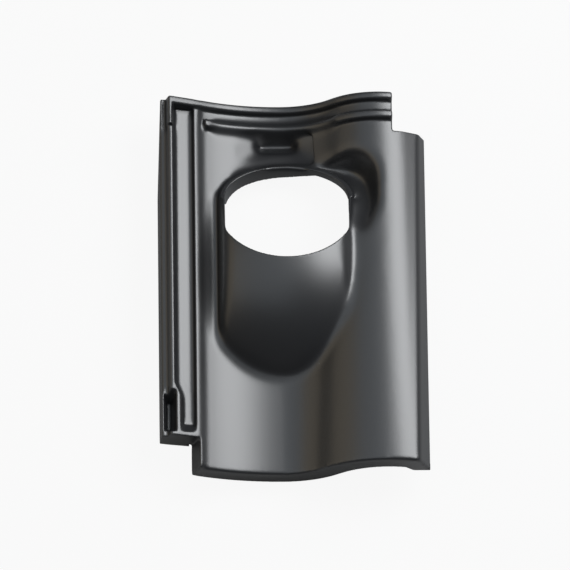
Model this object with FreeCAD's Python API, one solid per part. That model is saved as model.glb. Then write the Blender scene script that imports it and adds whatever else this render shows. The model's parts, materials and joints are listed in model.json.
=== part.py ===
import FreeCAD, Part
import math
import os

# A roof vent tile: one moulded shell with a trough, a roll, side and head laps and a hooded pipe opening.
# Millimetres. X runs across the roof, Y up the slope, Z out of the roof; heights count from the trough.

V = FreeCAD.Vector

# Whole tile
tile_width = 280.0
tile_length = 405.0
wall = 3.0

# Trough and roll: arcs that meet at the flank. The roll is flatter at the foot than at the head.
trough_from_right = 151.5
trough_x = tile_width - trough_from_right
trough_left_radius = 173.0
trough_right_radius_foot = 52.0
trough_right_radius_head = 77.0
roll_radius_foot = 91.0
roll_radius_head = 57.5
roll_height_foot = 49.0
roll_height_head = 45.5
flank_angle = 45.0

# Right side wall, which covers the next tile
side_wall_draft = 20.0
side_wall_foot = 12.0
side_edge_reach = 21.0
side_edge_rounding = 9.0
foot_lip_thickness = 1.8
foot_lip_length = 7.0

# Skirt that closes the foot
skirt_depth = 24.5
skirt_edge_rounding = 3.0
roll_mouth_half = 15.0
roll_corner_width = 18.0

# Left side lap: outer strip, upstand rib and water channel
lap_width = 31.0
lap_slope = 21.5
lap_side_foot = 4.0
pan_side_foot = -5.0
pan_side_lean = 11.0
pan_bead = 2.4
pan_bead_width = 4.5
pan_edge_rounding = 2.0
pan_edge_inset = 1.0
bead_foot_rounding = 5.0
lap_join = 9.0
strip_height = 31.0
strip_width = 6.0
strip_fall = 2.5
strip_side_lean = 2.5
strip_rounding = 1.5
rib_foot_rounding = 1.2
rib_lean = 3.5
rib_crest = 4.0
rib_crest_rounding = 1.6
channel_width = 16.5
channel_depth = 8.6
channel_fall = 5.4
channel_side_lean = 3.0
channel_edge_rounding = 1.6

# Corner notches that let four tiles meet
head_notch_width = 34.0
head_notch_length = 41.0
foot_notch_length = 33.0
head_taper = 3.5
head_taper_length = 105.0

# Foot end of the channel
dam_thickness = 5.0
dam_ramp = 10.0
channel_step = 6.0
channel_step_end = 78.0
channel_step_start = 91.0
channel_wall_width = 3.6

# Clip pocket in the outer strip
clip_pocket_start = 38.0
clip_pocket_end = 81.0
clip_pocket_depth = 14.0
clip_pocket_floor_left = 8.0
clip_pocket_floor_right = 11.5
clip_pocket_mouth_left = 1.0
clip_pocket_mouth_right = 21.0
clip_pocket_foot_slope = 5.0
clip_pocket_head_slope = 9.0

# Head ribs
head_rib_height = 6.0
head_rib_width = 8.0
head_rib_draft = 1.8
head_rib_rounding = 1.2
head_gutter = 10.0
ridge_bed = 1.5
second_rib_width = 9.0
corner_rib_length = 31.0
corner_rib_rounding = 10.0
rib_past_notch = 6.0
rib_sink = 0.5

# Batten nib, pressed down behind the hood
nib_left_of_trough = 3.5
nib_from_head = 29.5
nib_x = trough_x - nib_left_of_trough
nib_back = tile_length - nib_from_head
nib_mouth_width = 50.0
nib_mouth_length = 24.0
nib_floor_width = 36.0
nib_floor_length = 4.5
nib_back_lean = 7.0
nib_depth = 16.0
nib_rounding = 1.8
dish_width = 70.0
dish_length = 33.0
dish_depth = 2.5
dish_slope = 10.0
dish_rise = 2.0
dish_floor_back = 1.0
dish_mouth_back = 1.5

# Hood and pipe opening
hood_right_of_trough = 6.0
hood_x = trough_x + hood_right_of_trough
rim_y = 276.0
rim_z = 38.25
pipe_lean = 24.0
opening_half = 64.5
opening_foot_radius = 72.0
opening_corner = 30.0
opening_head_depth = 43.5
rim_edge = 1.0
hood_side_draft = 11.0
hood_head_depth = 37.5
hood_front_angle = 5.0
hood_crown_radius = 150.0
hood_shoulder_radius = 20.0
hood_shoulder_end = 16.0
hood_reach = 190.0
hood_root = -40.0
plinth_width = 4.0
plinth_height = 1.8
plinth_back = 30.0
plinth_right = hood_x + 90.5

# Scoop that frees the collar from the roll
scoop_right = hood_x + 96.5
scoop_head = rim_y + 73.0
scoop_waist = rim_y + 10.0
scoop_taper = 18.0
scoop_foot = rim_y - 33.0
scoop_drop = 5.0
scoop_draft = 20.0
scoop_corner = 34.0
scoop_lowest = -5.0
scoop_highest = 80.0

# How far the cutting shapes reach below, above and past the tile
deep = 90.0
high = 120.0
over = 20.0
wide = 400.0


def sin(angle):
    return math.sin(math.radians(angle))


def cos(angle):
    return math.cos(math.radians(angle))


def tan(angle):
    return math.tan(math.radians(angle))


def at(x, z, y=0.0):
    return V(x, y, z)


def arc(centre, radius, start, end):
    # An arc in the cross-section; angles count from straight down, towards +X.
    def on(angle):
        return centre + V(radius * sin(angle), 0, -radius * cos(angle))
    return Part.Arc(on(start), on((start + end) / 2), on(end)).toShape()


def line(start, end):
    return Part.LineSegment(start, end).toShape()


def rounded(corners):
    # Straight edges through (x, z, radius) corners, each corner rounded by its radius.
    points = [at(x, z) for x, z, radius in corners]
    edges = []
    start = points[0]
    for index in range(1, len(points) - 1):
        corner, radius = points[index], corners[index][2]
        back = (points[index - 1] - corner).normalize()
        ahead = (points[index + 1] - corner).normalize()
        half = back.getAngle(ahead) / 2
        if radius == 0 or half > math.pi / 2 - 0.002:
            edges.append(line(start, corner))
            start = corner
            continue
        reach = radius / math.tan(half)
        middle = corner + (back + ahead).normalize() * (radius / math.sin(half) - radius)
        edges.append(line(start, corner + back * reach))
        edges.append(Part.Arc(corner + back * reach, middle, corner + ahead * reach).toShape())
        start = corner + ahead * reach
    edges.append(line(start, points[-1]))
    return edges


def trough_height(x):
    return trough_left_radius - math.sqrt(trough_left_radius ** 2 - (trough_x - x) ** 2)


# Points of the left side lap that several features share
pan_edge_x = lap_width + pan_side_lean + pan_edge_inset
pan_edge_z = trough_height(pan_edge_x) + pan_bead
crest_left_x = strip_side_lean + strip_width + rib_lean
crest_right_x = crest_left_x + rib_crest
channel_left_x = crest_right_x + channel_side_lean
channel_right_x = channel_left_x + channel_width
rib_end_x = tile_width - head_notch_width + rib_past_notch


def lap_height(x):
    return pan_edge_z + (pan_edge_x - x) * tan(lap_slope)


def strip_side_x(z):
    # The outer strip's leaning side, upright where z is the lap's lower edge.
    return strip_side_lean - (strip_height - z) * strip_side_lean / (strip_height - lap_side_foot)


channel_left_z = lap_height(channel_left_x) - channel_depth
channel_right_z = channel_left_z - channel_fall


class Station:
    # The trough and roll at one place along the slope, raised or lowered square to the surface.
    def __init__(self, y, rise=0.0):
        share = y / tile_length
        self.y = y
        self.rise = rise
        self.inner = trough_right_radius_foot + share * (trough_right_radius_head - trough_right_radius_foot)
        self.outer = roll_radius_foot + share * (roll_radius_head - roll_radius_foot)
        self.height = roll_height_foot + share * (roll_height_head - roll_height_foot)
        climb = self.height - (self.inner + self.outer) * (1 - cos(flank_angle))
        self.flank = climb / sin(flank_angle)
        reach = (self.inner + self.outer) * sin(flank_angle)
        self.crest_x = trough_x + reach + self.flank * cos(flank_angle)

    def left_arc(self, x):
        angle = math.degrees(math.asin((trough_x - x) / trough_left_radius))
        return arc(at(trough_x, trough_left_radius), trough_left_radius - self.rise, -angle, 0)

    def rest(self, roll_end):
        # From the trough over the flank and the roll, up to an angle past the crest.
        low = at(trough_x, self.inner)
        top = at(self.crest_x, self.height - self.outer)
        first = arc(low, self.inner - self.rise, 0, flank_angle)
        climb = arc(top, self.outer + self.rise, 180 + flank_angle, 180)
        last = arc(top, self.outer + self.rise, 180, 180 - roll_end)
        flank = line(first.Vertexes[-1].Point, climb.Vertexes[0].Point)
        return [first, flank, climb, last]

    def roll_angle(self, x):
        return math.degrees(math.asin((x - self.crest_x) / self.outer))


def placed(edges, y):
    wire = Part.Wire(edges)
    wire.translate(V(0, y, 0))
    return wire


def ruled_solid(wires):
    return Part.makeLoft(wires, True, True)


def prism(edges, y0, y1):
    return Part.Face(placed(edges, y0)).extrude(V(0, y1 - y0, 0))


def edge_points(edges):
    return edges[0].Vertexes[0].Point, edges[-1].Vertexes[-1].Point


def closed(edges):
    start, end = edge_points(edges)
    return edges + [line(end, start)]


def right_side(station, inset, rounding):
    # The trough, flank and roll, then the rounded edge and the leaning side wall.
    roll_end = station.roll_angle(tile_width - side_edge_reach)
    arcs = station.rest(roll_end)
    end = arcs[-1].Vertexes[-1].Point
    slope = tan(side_wall_draft)
    foot_x = tile_width - inset / cos(side_wall_draft)
    gap = foot_x - (end.z - side_wall_foot) * slope - end.x
    run = gap / (cos(roll_end) - slope * sin(roll_end))
    corner = end + V(run * cos(roll_end), 0, -run * sin(roll_end))
    return arcs, rounded([
        (end.x, end.z, 0),
        (corner.x, corner.z, rounding),
        (corner.x + (corner.z + deep) * slope, -deep, 0),
    ])


def tile_section(y):
    # The whole section without its channel, closed far below.
    station = Station(y)
    start_x = pan_edge_x + lap_join
    first = station.left_arc(start_x)
    start = first.Vertexes[0].Point
    slope = (trough_x - start_x) / math.sqrt(trough_left_radius ** 2 - (trough_x - start_x) ** 2)
    bead_foot_x = pan_edge_x + pan_bead_width
    left = rounded([
        (strip_side_x(-deep), -deep, 0),
        (strip_side_lean, strip_height, strip_rounding),
        (strip_side_lean + strip_width, strip_height - strip_fall, rib_foot_rounding),
        (crest_left_x, lap_height(crest_left_x), rib_crest_rounding),
        (pan_edge_x, pan_edge_z, pan_edge_rounding),
        (bead_foot_x, start.z + (start_x - bead_foot_x) * slope, bead_foot_rounding),
        (start.x, start.z, 0),
    ])
    arcs, right = right_side(station, 0.0, side_edge_rounding)
    return placed(closed(left + [first] + arcs + right), y)


def cavity_section(y):
    # The space under the shell, one wall thickness inside, closed far below.
    station = Station(y, -wall)
    start_x = pan_edge_x + 4.0
    first = station.left_arc(start_x)
    start = first.Vertexes[0].Point
    left = rounded([
        (wall + 1.0 - (strip_height + deep) * strip_side_lean / (strip_height - lap_side_foot), -deep, 0),
        (wall + strip_side_lean + 0.5, strip_height - wall, 2.0),
        (crest_left_x, strip_height - strip_fall - wall, 4.0),
        (channel_left_x, channel_left_z - wall, 4.0),
        (channel_right_x + 1.0, channel_right_z - wall, 2.0),
        (pan_edge_x - 1.0, pan_edge_z - 1.5 * wall, 2.0),
        (start.x, start.z, 0),
    ])
    arcs, right = right_side(station, wall, side_edge_rounding - wall)
    return placed(closed(left + [first] + arcs + right), y)


def under_skirt():
    # Everything below the lower edge of the walls and skirt.
    wires = []
    for y in (-over, tile_length + over):
        station = Station(y, -skirt_depth)
        first = station.left_arc(lap_width + lap_join)
        arcs = station.rest(roll_mouth_half)
        start = first.Vertexes[0].Point
        end = arcs[-1].Vertexes[-1].Point
        left = rounded([
            (-over, lap_side_foot + (pan_side_foot - lap_side_foot) * (-over) / lap_width, 0),
            (lap_width, pan_side_foot, 0),
            (start.x, start.z, 0),
        ])
        right = rounded([
            (end.x, end.z, 0),
            (tile_width - roll_corner_width, side_wall_foot, 4.0),
            (tile_width + deep, side_wall_foot, 0),
            (tile_width + deep, -deep - 1, 0),
            (-over, -deep - 1, 0),
        ])
        wires.append(placed(closed(left + [first] + arcs + right), y))
    return ruled_solid(wires)


def foot_notch(grow):
    # The corner left free beside the pan's foot, with the pan's leaning side wall.
    lean = pan_side_lean / (pan_edge_z - pan_side_foot)
    def side(z):
        return lap_width + grow + (z - pan_side_foot) * lean
    edges = rounded([
        (-over, -deep - 2, 0),
        (side(-deep - 2), -deep - 2, 0),
        (side(high), high, 0),
        (-over, high, 0),
    ])
    return prism(closed(edges), -over, foot_notch_length + grow)


def head_notch():
    return Part.makeBox(
        head_notch_width + over, head_notch_length + over, 2 * high,
        V(tile_width - head_notch_width, tile_length - head_notch_length, -high))


def channel():
    # The channel between rib and pan edge; it narrows in a step near its foot and ends in a ramp.
    def ring(y, step, lift):
        wall_x = channel_right_x + channel_wall_width
        edges = rounded([
            (crest_right_x + step, high, 0),
            (crest_right_x + step, lap_height(crest_right_x + step), 0),
            (channel_left_x + step, channel_left_z + lift - step * tan(lap_slope), channel_edge_rounding),
            (channel_right_x, channel_right_z + lift, channel_edge_rounding),
            (wall_x, lap_height(wall_x) + 1.0, 0),
            (wall_x, high, 0),
        ])
        return placed(closed(edges), y)
    head_end = tile_length - head_rib_width - head_rib_draft
    top = foot_notch_length + dam_thickness
    return ruled_solid([
        ring(top, channel_step, channel_depth - 1.0),
        ring(top + dam_ramp, channel_step, 0),
        ring(channel_step_end, channel_step, 0),
        ring(channel_step_start, 0, 0),
        ring(head_end, 0, 0),
    ])


def head_side_taper(grow):
    # The outer strip's edge draws in towards the head.
    start = tile_length - head_taper_length
    corners = [
        (-over, start), (grow, start), (head_taper + grow, tile_length),
        (head_taper + grow, tile_length + over), (-over, tile_length + over), (-over, start)]
    outline = Part.makePolygon([V(x, y, -deep - 3) for x, y in corners])
    return Part.Face(outline).extrude(V(0, 0, deep + high))


def foot_lip():
    # The thin unrounded lip under the skirt's right corner.
    return Part.makeBox(
        roll_corner_width - 1.0, foot_lip_length, foot_lip_thickness,
        V(tile_width - roll_corner_width + 1.0, 0, side_wall_foot))


def frustum(x0, x1, y0, y1, z0, x2, x3, y2, y3, z1):
    # A solid between two level rectangles, the first below the second.
    low = Part.makePolygon([V(x0, y0, z0), V(x1, y0, z0), V(x1, y1, z0), V(x0, y1, z0), V(x0, y0, z0)])
    top = Part.makePolygon([V(x2, y2, z1), V(x3, y2, z1), V(x3, y3, z1), V(x2, y3, z1), V(x2, y2, z1)])
    return ruled_solid([low, top])


def clip_pocket(grow):
    # The tapering recess in the outer strip, at its foot.
    z1 = strip_height + 12.0
    z0 = strip_height - clip_pocket_depth - grow
    floor_start = clip_pocket_start + clip_pocket_foot_slope - grow
    floor_end = clip_pocket_end - clip_pocket_head_slope + grow
    return frustum(
        clip_pocket_floor_left - grow, clip_pocket_floor_right + grow, floor_start, floor_end, z0,
        clip_pocket_mouth_left - grow * 0.3, clip_pocket_mouth_right + grow,
        clip_pocket_start - 3 - grow, clip_pocket_end + 6 + grow, z1)


def level_loop(x0, x1, y0, y1, z, radius):
    # A level rectangle with rounded corners.
    k = radius * (1 - cos(45))
    return Part.Wire([
        line(V(x0 + radius, y0, z), V(x1 - radius, y0, z)),
        Part.Arc(V(x1 - radius, y0, z), V(x1 - k, y0 + k, z), V(x1, y0 + radius, z)).toShape(),
        line(V(x1, y0 + radius, z), V(x1, y1 - radius, z)),
        Part.Arc(V(x1, y1 - radius, z), V(x1 - k, y1 - k, z), V(x1 - radius, y1, z)).toShape(),
        line(V(x1 - radius, y1, z), V(x0 + radius, y1, z)),
        Part.Arc(V(x0 + radius, y1, z), V(x0 + k, y1 - k, z), V(x0, y1 - radius, z)).toShape(),
        line(V(x0, y1 - radius, z), V(x0, y0 + radius, z)),
        Part.Arc(V(x0, y0 + radius, z), V(x0 + k, y0 + k, z), V(x0 + radius, y0, z)).toShape(),
    ])


def nib(grow):
    # The pressed-down hook that hangs behind the batten, in its shallow dish.
    half_floor = nib_floor_width / 2 + grow
    half_mouth = nib_mouth_width / 2 + grow * 1.2
    floor_back = nib_back - nib_back_lean + grow
    floor_front = floor_back - nib_floor_length - 2 * grow
    hook = ruled_solid([
        level_loop(nib_x - half_floor, nib_x + half_floor, floor_front, floor_back,
                   -nib_depth - grow, nib_rounding + grow * 0.5),
        level_loop(nib_x - half_mouth, nib_x + half_mouth,
                   nib_back - nib_mouth_length - grow, nib_back + grow, 2.0, 2 * nib_rounding + grow),
    ])
    half_dish = dish_width / 2 + grow
    dish_foot = nib_back - dish_length
    dish = ruled_solid([
        level_loop(nib_x - half_dish + dish_slope, nib_x + half_dish - dish_slope,
                   dish_foot + dish_slope - grow, nib_back - dish_floor_back + grow,
                   -dish_depth - grow, 0.8 * dish_slope),
        level_loop(nib_x - half_dish - dish_slope, nib_x + half_dish + dish_slope,
                   dish_foot - dish_slope - grow, nib_back + dish_mouth_back + grow,
                   dish_rise + 2 * dish_depth, dish_slope),
    ])
    return hook.fuse(dish)


def ridge(levels, left_x, right_x, shoulder=None):
    # A low ridge across the tile: each level gives its place along the slope and its rise.
    wires = []
    for y, rise in levels:
        top = Station(y, rise)
        low = Station(y, -ridge_bed)
        upper = [top.left_arc(left_x)] + top.rest(top.roll_angle(right_x))
        lower = [low.left_arc(left_x)] + low.rest(low.roll_angle(right_x))
        if shoulder:
            upper = shoulder(rise, upper[0].Vertexes[0].Point) + upper
        start, end = edge_points(upper)
        low_start, low_end = edge_points(lower)
        edges = upper + [line(end, low_end)] + lower[::-1] + [line(low_start, start)]
        wires.append(placed(Part.__sortEdges__(edges), y))
    return ruled_solid(wires)


def head_rib():
    # The outermost rib: along the head edge, over the channel and round the corner.
    foot_side = tile_length - head_rib_width
    bed_z = strip_height - strip_fall - 1.0
    soft = head_rib_rounding
    levels = [
        (foot_side - head_rib_draft, -rib_sink),
        (foot_side, head_rib_height - soft),
        (foot_side + soft, head_rib_height),
        (tile_length - soft, head_rib_height),
        (tile_length, head_rib_height - soft),
    ]

    def over_lap(rise, joint):
        return rounded([
            (crest_left_x - rib_lean, bed_z, 0),
            (crest_left_x + 0.4, lap_height(crest_left_x) + rise, 1.5),
            (pan_edge_x + 1.0, pan_edge_z - pan_bead + rise, corner_rib_rounding),
            (joint.x, joint.z, 0),
        ])
    leg = prism(closed(rounded([
        (crest_left_x - rib_lean - 0.5, bed_z, 0),
        (crest_left_x, lap_height(crest_left_x) + head_rib_height, rib_crest_rounding),
        (crest_right_x - 0.2, lap_height(crest_right_x) + head_rib_height, rib_crest_rounding),
        (channel_left_x, channel_left_z - 1.0, 0),
    ])), tile_length - corner_rib_length, tile_length - soft)
    return ridge(levels, pan_edge_x + lap_join, rib_end_x, over_lap).fuse(leg)


def second_rib():
    # The inner rib, from the pan's left edge to the head notch.
    head_side = tile_length - head_rib_width - head_rib_draft - head_gutter
    foot_side = head_side - second_rib_width
    soft = head_rib_rounding
    levels = [
        (foot_side - head_rib_draft, -rib_sink),
        (foot_side, head_rib_height - soft),
        (foot_side + soft, head_rib_height),
        (head_side - soft, head_rib_height),
        (head_side, -rib_sink),
    ]
    return ridge(levels, pan_edge_x + 5.0, rib_end_x)


def block(section):
    return ruled_solid([section(0.0), section(tile_length)])


def in_rim_frame(shape):
    # From a frame whose Z is the pipe's axis, with its origin in the middle of the rim, to the tile's frame.
    shape.Placement = FreeCAD.Placement(
        V(hood_x, rim_y, rim_z), FreeCAD.Rotation(V(1, 0, 0), -pipe_lean)).multiply(shape.Placement)
    return shape


# Where the hood's straight sides end, behind the middle of the rim
straight_end = opening_half - opening_head_depth
straight_end_y = rim_y + straight_end * cos(pipe_lean)
hood_start_y = rim_y - hood_reach


def crown(inset):
    # The hood's crown is part of a ball that passes through the front of the rim.
    front_rim = V(hood_x, rim_y - opening_half * cos(pipe_lean), rim_z + opening_half * sin(pipe_lean))
    to_centre = V(0, sin(hood_front_angle), -cos(hood_front_angle)) * hood_crown_radius
    return Part.makeSphere(hood_crown_radius - inset, front_rim + to_centre)


def hood_half(inset, z):
    # Half the hood's width at one height.
    return opening_half + wall - inset - (z - rim_z) * tan(hood_side_draft)


def hood_front(inset):
    # The hood as far as its straight sides go: drafted, under the crown, with shoulders that fade out.
    low = -10.0
    wires = []
    for z in (low, high):
        half = hood_half(inset, z)
        wires.append(Part.makePolygon([
            V(hood_x - half, hood_start_y, z), V(hood_x + half, hood_start_y, z),
            V(hood_x + half, straight_end_y, z), V(hood_x - half, straight_end_y, z),
            V(hood_x - half, hood_start_y, z)]))
    solid = ruled_solid(wires).common(crown(inset))
    for side in (-1, 1):
        shoulders = [edge for edge in solid.Edges if is_shoulder(edge, side)]
        solid = fade_fillet(solid, shoulders[0], hood_shoulder_radius - inset, hood_shoulder_end)
    return solid


def is_shoulder(edge, side):
    # The long edge between the crown and the side: 1 on the right, -1 on the left.
    box = edge.BoundBox
    return box.YLength > 60 and box.ZLength > 15 and side * (box.Center.x - hood_x) > 30


def fade_fillet(solid, edge, back_radius, front_radius):
    # A rounding that is widest at the rim and fades towards the hood's foot.
    start = edge.Vertexes[0].Point
    if start.y > edge.Vertexes[-1].Point.y:
        return solid.makeFillet(back_radius, front_radius, [edge])
    return solid.makeFillet(front_radius, back_radius, [edge])


def hood_back(grow_side, grow_back):
    # The hood behind its straight sides: half an ellipse, drafted as the sides.
    wires = []
    for z in (hood_root, high):
        half = hood_half(-grow_side, z)
        depth = hood_head_depth + grow_back - (z - rim_z) * tan(hood_side_draft)
        ellipse = Part.Ellipse(V(hood_x, straight_end_y, z), half, depth)
        curve = Part.Edge(Part.ArcOfEllipse(ellipse, 0, math.pi))
        chord = line(V(hood_x - half, straight_end_y, z), V(hood_x + half, straight_end_y, z))
        wires.append(Part.Wire([curve, chord]))
    return ruled_solid(wires)


def opening():
    # The pipe opening, square to the rim: a wide arc at the foot, straight sides, half an ellipse behind.
    centre_y = opening_foot_radius - opening_half + rim_edge
    foot_part = Part.makeCylinder(opening_foot_radius, 2 * high, V(0, centre_y, -high))
    sides_corner = V(-opening_half, straight_end - 2 * high, -high)
    foot_part = foot_part.common(Part.makeBox(2 * opening_half, 2 * high, 2 * high, sides_corner))
    corners = [
        edge for edge in foot_part.Edges
        if edge.Length > 2 * high - 1 and edge.BoundBox.YMax < straight_end - 5
        and abs(edge.BoundBox.Center.x) > opening_half - 1]
    foot_part = foot_part.makeFillet(opening_corner, corners)
    ellipse = Part.Ellipse(V(0, straight_end, -high), opening_half, opening_head_depth)
    curve = Part.Edge(Part.ArcOfEllipse(ellipse, 0, math.pi))
    chord = line(V(-opening_half, straight_end, -high), V(opening_half, straight_end, -high))
    head_part = Part.Face(Part.Wire([curve, chord])).extrude(V(0, 0, 2 * high))
    return in_rim_frame(foot_part.fuse(head_part))


def plinth():
    # The low step around the hood's foot, which runs out behind the rim.
    grown = hood_front(-plinth_width).fuse(hood_back(plinth_width, 0.5))
    levels = [(hood_start_y, plinth_height), (rim_y + plinth_back, plinth_height)]
    return grown.common(ridge(levels, pan_edge_x + 5.0, plinth_right))


def scoop(grow):
    # The pocket pressed into the roll beside the collar: a drafted wall round a floor below the rim's plane.
    end_y = scoop_foot - 2 * over

    def ring(z):
        inset = (roll_height_foot - z) * tan(scoop_draft) - grow
        right = scoop_right - inset
        end_x = right - (scoop_waist - end_y) * scoop_taper / (scoop_waist - scoop_foot)
        corners = [
            (hood_x, end_y), (end_x, end_y), (right, scoop_waist),
            (right, scoop_head - inset), (hood_x, scoop_head - inset), (hood_x, end_y)]
        return Part.makePolygon([V(x, y, z) for x, y in corners])
    solid = ruled_solid([ring(scoop_lowest - grow), ring(scoop_highest)])
    uprights = [
        edge for edge in solid.Edges
        if edge.BoundBox.ZLength > 50 and edge.BoundBox.YMin > scoop_foot
        and edge.BoundBox.XMin > hood_x + 1]
    solid = solid.makeFillet(scoop_corner, uprights)
    floor = in_rim_frame(Part.makeBox(wide, wide, wide / 2, V(-wide / 2, -wide / 2, -scoop_drop - grow)))
    return solid.common(floor)


def above_rim():
    # Everything above the rim's plane.
    box = Part.makeBox(wide, wide, wide / 2, V(-wide / 2, -2 * opening_half, 0))
    return in_rim_frame(box)


def foot_rounding(shape):
    # Rounds the top of the skirt and its right corner.
    foot_edges = [edge for edge in shape.Edges if edge.BoundBox.YMax < 0.01]
    top = [edge for edge in foot_edges if edge.BoundBox.ZMin > -deep + 1]
    side = [
        edge for edge in foot_edges
        if edge.BoundBox.XMin > tile_width - 30 and edge.BoundBox.ZLength > 50]
    return shape.makeFillet(skirt_edge_rounding, top + side)


def build():
    full = foot_rounding(block(tile_section))
    body = full.cut(under_skirt())
    body = body.fuse(full.common(scoop(wall)))
    body = body.fuse(full.common(nib(wall)))
    body = body.cut(channel())
    body = body.cut(clip_pocket(0.0))
    body = body.cut(foot_notch(0.0))
    body = body.cut(head_side_taper(0.0))
    body = body.cut(scoop(0.0))
    body = body.fuse(head_rib())
    body = body.fuse(second_rib())
    body = body.cut(nib(0.0))
    body = body.fuse(plinth().cut(scoop(0.0)))
    outer_hood = hood_front(0.0).fuse(hood_back(0.0, 0.0))
    body = body.fuse(outer_hood.cut(above_rim()))
    body = body.cut(head_notch())
    body = body.fuse(foot_lip())

    cavity = ruled_solid([cavity_section(wall), cavity_section(tile_length + over)])
    cavity = cavity.cut(foot_notch(wall))
    cavity = cavity.cut(head_side_taper(wall))
    cavity = cavity.cut(scoop(wall))
    cavity = cavity.cut(nib(wall))
    cavity = cavity.cut(clip_pocket(wall))
    cavity = cavity.fuse(hood_front(wall).cut(above_rim()))

    shell = body.cut(cavity)
    shell = shell.cut(opening())
    shell.translate(V(-tile_width / 2, -tile_length / 2, skirt_depth))
    return shell


if __name__ == "__main__":
    os.makedirs("parts", exist_ok=True)
    build().exportStep("parts/vent_tile.step")
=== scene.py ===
import bpy
import json
import math
from mathutils import Matrix, Vector


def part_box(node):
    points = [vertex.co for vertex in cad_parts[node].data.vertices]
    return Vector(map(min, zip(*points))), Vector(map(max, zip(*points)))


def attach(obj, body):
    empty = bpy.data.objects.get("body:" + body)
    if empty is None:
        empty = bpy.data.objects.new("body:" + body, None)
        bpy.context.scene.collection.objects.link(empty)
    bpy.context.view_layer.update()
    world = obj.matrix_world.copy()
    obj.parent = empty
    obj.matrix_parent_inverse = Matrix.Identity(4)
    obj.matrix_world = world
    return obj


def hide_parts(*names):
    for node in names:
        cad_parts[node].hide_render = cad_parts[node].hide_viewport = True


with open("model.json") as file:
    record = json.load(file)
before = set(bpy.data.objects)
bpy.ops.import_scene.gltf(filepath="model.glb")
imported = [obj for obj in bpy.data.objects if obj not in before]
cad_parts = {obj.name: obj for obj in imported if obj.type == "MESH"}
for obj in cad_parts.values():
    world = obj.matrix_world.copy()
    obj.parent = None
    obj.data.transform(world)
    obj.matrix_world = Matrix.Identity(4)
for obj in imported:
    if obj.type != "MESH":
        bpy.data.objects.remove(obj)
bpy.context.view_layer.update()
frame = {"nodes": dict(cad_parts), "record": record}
mm = 0.001


def toLinear(hexColour):
    # sRGB hex to the linear colour that a socket takes
    linear = []
    for start in (1, 3, 5):
        value = int(hexColour[start:start + 2], 16) / 255
        linear.append(value / 12.92 if value <= 0.04045 else ((value + 0.055) / 1.055) ** 2.4)
    return (*linear, 1.0)


def addNode(tree, kind, settings=None, **links):
    # one node with its settings; a link is an output socket, anything else is a socket's own value
    node = tree.nodes.new(kind)
    for name, value in (settings or {}).items():
        setattr(node, name, value)
    for name, value in links.items():
        numbered = name[0] == "i" and name[1:].isdigit()  # i0 is the first input, where names repeat
        socket = node.inputs[int(name[1:]) if numbered else name.replace("_", " ")]
        if isinstance(value, bpy.types.NodeSocket):
            tree.links.new(value, socket)
        else:
            socket.default_value = value
    return node


def newMaterial(name):
    material = bpy.data.materials.new(name)
    material.use_nodes = True
    material.node_tree.nodes.clear()
    return material


def deselectAll():
    bpy.ops.object.select_all(action="DESELECT")


def makeActive(piece):
    deselectAll()
    piece.select_set(True)
    bpy.context.view_layer.objects.active = piece


def applyModifier(piece, kind, **settings):
    makeActive(piece)
    modifier = piece.modifiers.new(kind.title(), kind)
    for name, value in settings.items():
        setattr(modifier, name, value)
    bpy.ops.object.modifier_apply(modifier=modifier.name)


# the moulding: the frame's tile, remeshed so that its edges can be softened
shell = {
    "mergeReach": 0.01 * mm,
    "remeshDepth": 9,        # cells of about 0.8 mm
    "remeshScale": 0.99,
    "creaseAngle": 24,       # edges sharper than this many degrees are creases
    "creaseHold": 1.5 * mm,  # the wide faces' smoothing leaves all that is nearer to a crease
    "creaseReach": 7 * mm,   # and is full from here on
    "facePasses": 120,
    "edgePasses": 8,         # over the whole tile, at the end
    "triangles": 190000,
}

# the opening and the collar round it, seen along the pipe: square at the foot, half an ellipse at the head
collar = {
    "openingHalf": 66 * mm,
    "outerHalf": 71 * mm,
    "square": 20 * mm,       # how far past the rim's middle the sides run straight
    "depth": 4 * mm,         # below the rim, the collar's outer side belongs to the hood
    "reach": 6 * mm,         # how far its edges hold back the softening beside them
}

# where the nib, the scoop and the hood's foot lie: across the tile and up the slope from the nib or the rim
formPlaces = {
    "nib": {"left": -50 * mm, "right": 50 * mm, "foot": -32 * mm, "head": 13 * mm},
    "scoop": {"left": 40 * mm, "right": 105 * mm, "foot": -45 * mm, "head": 72 * mm},
    "hoodFoot": {"left": -84 * mm, "right": 84 * mm, "foot": -200 * mm, "head": 50 * mm, "low": 15 * mm},
}

# the side lap, the head ribs and the low bead along the pan
lapPlaces = {
    "lapLow": 34 * mm,       # the side lap's upper edges lie above this
    "lapWidth": 46 * mm,     # from the tile's left edge to the bead
    "ribsLength": 36 * mm,   # from the head edge
    "beadHeight": 46.5 * mm,
    "beadFromHead": 30 * mm,
}

# how soft: smoothing passes, full as far as the first distance and none past the second
softPlaces = {
    "hoodFoot": (200, 7 * mm, 14 * mm),
    "scoop": (420, 13 * mm, 26 * mm),
    "nib": (300, 9 * mm, 18 * mm),
    "ribs": (26, 3 * mm, 7 * mm),
    "lap": (12, 2 * mm, 5 * mm),
    "panBead": (110, 3 * mm, 8 * mm),
}


def mountNamed(name):
    return next(mount for mount in frame["record"]["mounts"] if mount["name"] == name)


rimCentre = Vector(mountNamed("pipe_opening")["pos_m"])
pipeAxis = Vector(mountNamed("pipe_opening")["axis"])
nibPlace = Vector(mountNamed("batten_nib")["pos_m"])
tileLow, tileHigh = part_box("vent_tile")
ribsFoot = tileHigh[1] - lapPlaces["ribsLength"]
beadX = tileLow[0] + lapPlaces["lapWidth"]


def insideOutline(across, up, half):
    square = collar["square"]
    if up < square:
        return abs(across) < half and up > -half
    return (across / half) ** 2 + ((up - square) / (half - square)) ** 2 < 1


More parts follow.
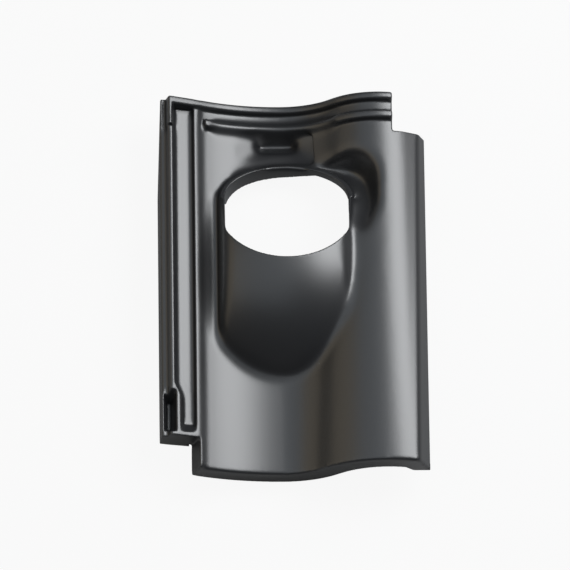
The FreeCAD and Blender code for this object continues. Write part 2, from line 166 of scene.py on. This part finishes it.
def onCollar(point):
    # in the opening, or on the collar's rim
    away = point - rimCentre
    up = away.dot(Vector((1, 0, 0)).cross(-pipeAxis))
    if insideOutline(away.x, up, collar["openingHalf"]):
        return True
    return insideOutline(away.x, up, collar["outerHalf"]) and away.dot(pipeAxis) > -collar["depth"]


def isAt(form, away):
    place = formPlaces[form]
    return place["left"] < away.x < place["right"] and place["foot"] < away.y < place["head"]


def creaseKind(point):
    # the form that a crease belongs to; held ones are only kept sharp
    if isAt("nib", point - nibPlace):
        return "nib"
    if onCollar(point):
        return "collar"
    if isAt("scoop", point - rimCentre):
        return "scoop"
    if isAt("hoodFoot", point - rimCentre) and point.z > formPlaces["hoodFoot"]["low"]:
        return "hoodFoot"
    if point.x < beadX and point.z > lapPlaces["lapLow"]:
        return "lap"
    if point.y > ribsFoot:
        return "ribs"
    return "held"


def copyMerged(source, name):
    piece = source.copy()
    piece.data = source.data.copy()
    piece.name = name
    piece.parent = None
    bpy.context.scene.collection.objects.link(piece)
    makeActive(piece)
    bpy.ops.object.mode_set(mode="EDIT")
    bpy.ops.mesh.select_all(action="SELECT")
    bpy.ops.mesh.customdata_custom_splitnormals_clear()
    bpy.ops.mesh.remove_doubles(threshold=shell["mergeReach"])
    bpy.ops.object.mode_set(mode="OBJECT")
    return piece


def addLines(name, points, edges):
    # loose edges, to measure distances from
    mesh = bpy.data.meshes.new(name)
    mesh.from_pydata(points, edges, [])
    piece = bpy.data.objects.new(name, mesh)
    bpy.context.scene.collection.objects.link(piece)
    return piece


def creaseLines(tile):
    # the sharp edges as lines, one object for each form, and the low bead, which has no sharp edge
    makeActive(tile)
    bpy.ops.object.mode_set(mode="EDIT")
    bpy.ops.mesh.select_mode(type="EDGE")
    bpy.ops.mesh.select_all(action="DESELECT")
    bpy.ops.mesh.edges_select_sharp(sharpness=math.radians(shell["creaseAngle"]))
    bpy.ops.object.mode_set(mode="OBJECT")
    points = [v.co.copy() for v in tile.data.vertices]
    kinds = {}
    for edge in tile.data.edges:
        if edge.select:
            first, second = edge.vertices
            kinds.setdefault(creaseKind((points[first] + points[second]) / 2), []).append((first, second))
    lines = {}
    for kind, edges in kinds.items():
        lines[kind] = addLines(kind + "Lines", points, edges)
        print("crease lines", kind, len(edges))
    beadHead = tileHigh[1] - lapPlaces["beadFromHead"]
    beadEnds = [(beadX, y, lapPlaces["beadHeight"]) for y in (tileLow[1], beadHead)]
    lines["panBead"] = addLines("panBeadLine", beadEnds, [(0, 1)])
    return lines


def join(pieces):
    # one new object that holds copies of them all
    deselectAll()
    for piece in pieces:
        piece.select_set(True)
    bpy.context.view_layer.objects.active = pieces[0]
    bpy.ops.object.duplicate()
    bpy.ops.object.join()
    return bpy.context.view_layer.objects.active


def weightByDistance(piece, group, lines, start, end):
    # 0 at the start distance from the lines and 1 at the end distance; either may be the larger
    piece.vertex_groups.new(name=group).add(range(len(piece.data.vertices)), 1.0, "REPLACE")
    applyModifier(
        piece, "VERTEX_WEIGHT_PROXIMITY", vertex_group=group, target=lines, proximity_mode="GEOMETRY",
        proximity_geometry={"EDGE"}, min_dist=start, max_dist=end)


def smooth(piece, passes, **settings):
    applyModifier(piece, "SMOOTH", factor=0.5, iterations=passes, **settings)


def buildShell():
    tile = copyMerged(frame["nodes"]["vent_tile"], "tileShell")
    lines = creaseLines(tile)
    applyModifier(
        tile, "REMESH", mode="SHARP", octree_depth=shell["remeshDepth"], scale=shell["remeshScale"],
        use_remove_disconnected=False, use_smooth_shade=True)
    print("remeshed", len(tile.data.polygons))
    firm = join([lines[kind] for kind in lines if kind not in ("scoop", "panBead")])
    weightByDistance(tile, "wideFaces", firm, shell["creaseHold"], shell["creaseReach"])
    smooth(tile, shell["facePasses"], vertex_group="wideFaces")
    weightByDistance(tile, "offCollar", lines["collar"], 0, collar["reach"])
    for kind, (passes, near, far) in softPlaces.items():
        weightByDistance(tile, kind, lines[kind], far, near)
        applyModifier(
            tile, "VERTEX_WEIGHT_MIX", vertex_group_a=kind, vertex_group_b="offCollar",
            mix_mode="MUL", mix_set="ALL")
        smooth(tile, passes, vertex_group=kind)
    smooth(tile, shell["edgePasses"])
    quads = len(tile.data.polygons)
    applyModifier(tile, "DECIMATE", ratio=shell["triangles"] / (2 * quads))
    print("tile shell", len(tile.data.polygons))
    for piece in (*lines.values(), firm):
        bpy.data.objects.remove(piece)
    makeActive(tile)
    bpy.ops.object.shade_smooth()
    return tile


# the plastic: anthracite ABS moulded in a lightly etched tool
plastic = {
    "colour": "#151618",
    "roughness": 0.38,
    "ior": 1.75,               # ABS is about 1.53; the photo's highlights ask for more
    "etchGrain": 0.35 * mm,    # the real etch is under 0.1 mm, so it is drawn coarser to show
    "etchDepth": 0.004 * mm,
    "etchDetail": 2.0,
}


def mouldedPlastic():
    # moulded ABS: nearly black, with a wide satin highlight that a fine etch breaks up a little
    material = newMaterial("mouldedAbsSatin")
    tree = material.node_tree
    place = addNode(tree, "ShaderNodeTexCoord").outputs["Object"]
    etch = addNode(
        tree, "ShaderNodeTexNoise", Vector=place,
        Scale=1 / plastic["etchGrain"], Detail=plastic["etchDetail"])
    bump = addNode(
        tree, "ShaderNodeBump", Height=etch.outputs[0], Distance=plastic["etchDepth"], Strength=1.0)
    surface = addNode(
        tree, "ShaderNodeBsdfPrincipled", Base_Color=toLinear(plastic["colour"]),
        Roughness=plastic["roughness"], IOR=plastic["ior"], Normal=bump.outputs[0])
    addNode(tree, "ShaderNodeOutputMaterial", Surface=surface.outputs[0])
    return material


# the floor and the light all round
studio = {
    "floorSize": 6.0,
    "floorDrop": 0.5 * mm,          # the floor is this far under the tile
    "floorColour": "#a8a8a8",
    "shadowShare": 0.08,            # how much of the floor's own shading the camera sees
    "mirroredShadowShare": 0.95,    # and how much of it the plastic mirrors
    "worldColour": "#9a9ca0",
    "worldStrength": 0.4,
}

lamps = [
    # name, direction to the lamp, distance, width, height, radiance, colour
    ("softboxRight", (0.54, 0.33, 0.77), 1.8, 1.1, 1.1, 9.4, "#fbfdff"),
    ("overheadSheet", (-0.26, 0.06, 0.96), 2.0, 2.3, 1.9, 0.75, "#eef7ff"),
    ("leftCard", (-0.85, 0.05, 0.5), 1.6, 1.6, 1.2, 0.7, "#ffeccb"),
]

photoCamera = {
    "azimuth": -3.906,              # degrees, as the next two
    "elevation": 70.725,
    "roll": 3.348,
    "distance": 9.093,
    "target": (-0.00807, -0.00119, 0.0445),
    "focalPixels": 8731.7,
    "imagePixels": 570,
    "sensor": 36.0,                 # millimetres, as Blender takes it
    "farthest": 100,
}


def paleFloor():
    # matt paint that shows white with a faint shadow, so that the tile stands on plain white
    material = newMaterial("paleFloor")
    tree = material.node_tree
    path = addNode(tree, "ShaderNodeLightPath").outputs
    paint = addNode(tree, "ShaderNodeBsdfDiffuse", Color=toLinear(studio["floorColour"]))
    white = addNode(tree, "ShaderNodeEmission", Color=(1, 1, 1, 1), Strength=1.0)
    seen = addNode(
        tree, "ShaderNodeMath", {"operation": "MULTIPLY"},
        i0=path["Is Camera Ray"], i1=1 - studio["shadowShare"]).outputs[0]
    mirrored = addNode(
        tree, "ShaderNodeMath", {"operation": "MAXIMUM"},
        i0=path["Is Glossy Ray"], i1=path["Is Transmission Ray"]).outputs[0]
    whiteShare = addNode(
        tree, "ShaderNodeMath", {"operation": "MULTIPLY_ADD"},
        i0=mirrored, i1=1 - studio["mirroredShadowShare"], i2=seen).outputs[0]
    mixed = addNode(tree, "ShaderNodeMixShader", i0=whiteShare, i1=paint.outputs[0], i2=white.outputs[0])
    addNode(tree, "ShaderNodeOutputMaterial", Surface=mixed.outputs[0])
    return material


def addFloor():
    deselectAll()
    bpy.ops.mesh.primitive_plane_add(size=studio["floorSize"], location=(0, 0, -studio["floorDrop"]))
    floor = bpy.context.object
    floor.name = "floor"
    floor.data.materials.append(paleFloor())


def addWorld():
    world = bpy.data.worlds.new("studio")
    world.use_nodes = True
    tree = world.node_tree
    tree.nodes.clear()
    glow = addNode(
        tree, "ShaderNodeBackground",
        Color=toLinear(studio["worldColour"]), Strength=studio["worldStrength"])
    addNode(tree, "ShaderNodeOutputWorld", Surface=glow.outputs[0])
    bpy.context.scene.world = world


def addLamps():
    for name, direction, distance, width, height, radiance, colour in lamps:
        towards = Vector(direction).normalized()
        data = bpy.data.lights.new(name, "AREA")
        data.shape = "RECTANGLE"
        data.size = width
        data.size_y = height
        data.energy = radiance * math.pi * width * height
        data.color = toLinear(colour)[:3]
        lamp = bpy.data.objects.new(name, data)
        lamp.location = towards * distance
        lamp.rotation_euler = towards.to_track_quat("Z", "Y").to_euler()
        bpy.context.scene.collection.objects.link(lamp)


def addCamera():
    azimuth, elevation, roll = (math.radians(photoCamera[key]) for key in ("azimuth", "elevation", "roll"))
    back = Vector((
        math.sin(azimuth) * math.cos(elevation),
        -math.cos(azimuth) * math.cos(elevation),
        math.sin(elevation)))
    level = Vector((math.cos(azimuth), math.sin(azimuth), 0))
    upright = back.cross(level)
    right = level * math.cos(roll) + upright * math.sin(roll)
    up = upright * math.cos(roll) - level * math.sin(roll)
    data = bpy.data.cameras.new("photoCamera")
    data.sensor_width = photoCamera["sensor"]
    data.lens = photoCamera["focalPixels"] * photoCamera["sensor"] / photoCamera["imagePixels"]
    data.clip_end = photoCamera["farthest"]
    camera = bpy.data.objects.new("photoCamera", data)
    placed = Matrix((right, up, back)).transposed().to_4x4()
    placed.translation = Vector(photoCamera["target"]) + back * photoCamera["distance"]
    camera.matrix_world = placed
    bpy.context.scene.collection.objects.link(camera)
    bpy.context.scene.camera = camera


tile = buildShell()
tile.data.materials.clear()
tile.data.materials.append(mouldedPlastic())
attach(tile, "root")
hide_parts("vent_tile")
print("tile finished")

addFloor()
addWorld()
addLamps()
addCamera()
bpy.context.scene.view_settings.view_transform = "Standard"
print("studio set")
